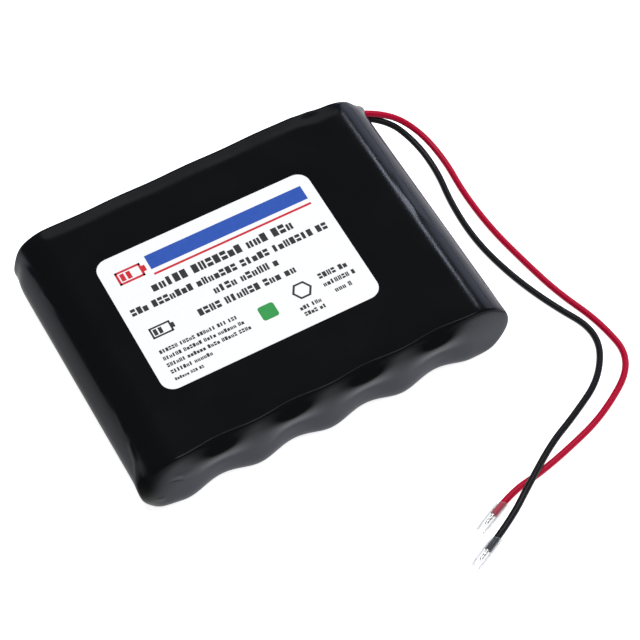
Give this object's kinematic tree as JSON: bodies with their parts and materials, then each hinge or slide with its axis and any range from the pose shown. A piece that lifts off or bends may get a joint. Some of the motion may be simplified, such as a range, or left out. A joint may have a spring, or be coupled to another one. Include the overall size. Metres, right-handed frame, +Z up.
{
  "type": "battery pack",
  "caption": "Flat rechargeable battery pack: round cells side by side in a glossy black shrink wrap with a white label, and two leads with clear end sleeves.",
  "frame": {"origin": "middle of the wrap's flat underside", "axes": "+X along the row of cells towards the corner where the leads come out, +Y towards the end faces that carry the protection board, +Z up through the label"},
  "size_m": [0.1152, 0.1176, 0.0195],
  "materials": {
    "wrap_film": "gloss",
    "label_stock": "satin",
    "fibre_board": "matte",
    "can_steel": "satin",
    "cell_plastic": "satin",
    "plated_cap": "polished",
    "gasket_plastic": "matte",
    "washer_paper": "matte",
    "electrode_foil": "matte",
    "nickel_strip": "satin",
    "insulating_paper": "matte",
    "sense_insulation": "satin",
    "board_laminate": "satin",
    "chip_moulding": "matte",
    "component_ceramic": "matte",
    "solder": "satin",
    "tinned_copper": "satin",
    "red_insulation": "satin",
    "black_insulation": "satin",
    "clear_plastic": "gloss"
  },
  "bodies": {
    "pack": {"shrink_wrap": "wrap_film", "label": "label_stock", "top_board": "fibre_board", "cell_1_can": "can_steel", "cell_1_sleeve": "cell_plastic", "cell_1_positive_cap": "plated_cap", "cell_1_gasket": "gasket_plastic", "cell_1_washer": "washer_paper", "cell_1_electrode_roll": "electrode_foil", "cell_2_can": "can_steel", "cell_2_sleeve": "cell_plastic", "cell_2_positive_cap": "plated_cap", "cell_2_gasket": "gasket_plastic", "cell_2_washer": "washer_paper", "cell_2_electrode_roll": "electrode_foil", "cell_3_can": "can_steel", "cell_3_sleeve": "cell_plastic", "cell_3_positive_cap": "plated_cap", "cell_3_gasket": "gasket_plastic", "cell_3_washer": "washer_paper", "cell_3_electrode_roll": "electrode_foil", "cell_4_can": "can_steel", "cell_4_sleeve": "cell_plastic", "cell_4_positive_cap": "plated_cap", "cell_4_gasket": "gasket_plastic", "cell_4_washer": "washer_paper", "cell_4_electrode_roll": "electrode_foil", "cell_5_can": "can_steel", "cell_5_sleeve": "cell_plastic", "cell_5_positive_cap": "plated_cap", "cell_5_gasket": "gasket_plastic", "cell_5_washer": "washer_paper", "cell_5_electrode_roll": "electrode_foil", "nickel_link_front_1_2": "nickel_strip", "nickel_link_front_3_4": "nickel_strip", "nickel_tab_front_5": "nickel_strip", "nickel_tab_back_1": "nickel_strip", "nickel_link_back_2_3": "nickel_strip", "nickel_link_back_4_5": "nickel_strip", "front_insulator": "insulating_paper", "back_insulator": "insulating_paper", "sense_wire_1_2": "sense_insulation", "sense_wire_3_4": "sense_insulation", "return_wire": "red_insulation", "protection_board": "board_laminate", "power_transistors": "chip_moulding", "control_chip": "chip_moulding", "small_components": "component_ceramic", "solder_joints": "solder", "lead_root_cores": "tinned_copper", "red_lead_root": "red_insulation", "red_lead": "red_insulation", "red_lead_tip": "tinned_copper", "black_lead_root": "black_insulation", "black_lead": "black_insulation", "black_lead_tip": "tinned_copper"},
    "red_tip_sleeve": {"red_tip_sleeve": "clear_plastic"},
    "black_tip_sleeve": {"black_tip_sleeve": "clear_plastic"}
  },
  "joints": [
    {"name": "red_sleeve_pull", "type": "slide", "parent": "pack", "child": "red_tip_sleeve", "axis": [-0.9132, -0.4074, 0], "range_m": [0, 0.012]},
    {"name": "black_sleeve_pull", "type": "slide", "parent": "pack", "child": "black_tip_sleeve", "axis": [-0.9033, -0.4291, 0], "range_m": [0, 0.012]}
  ]
}
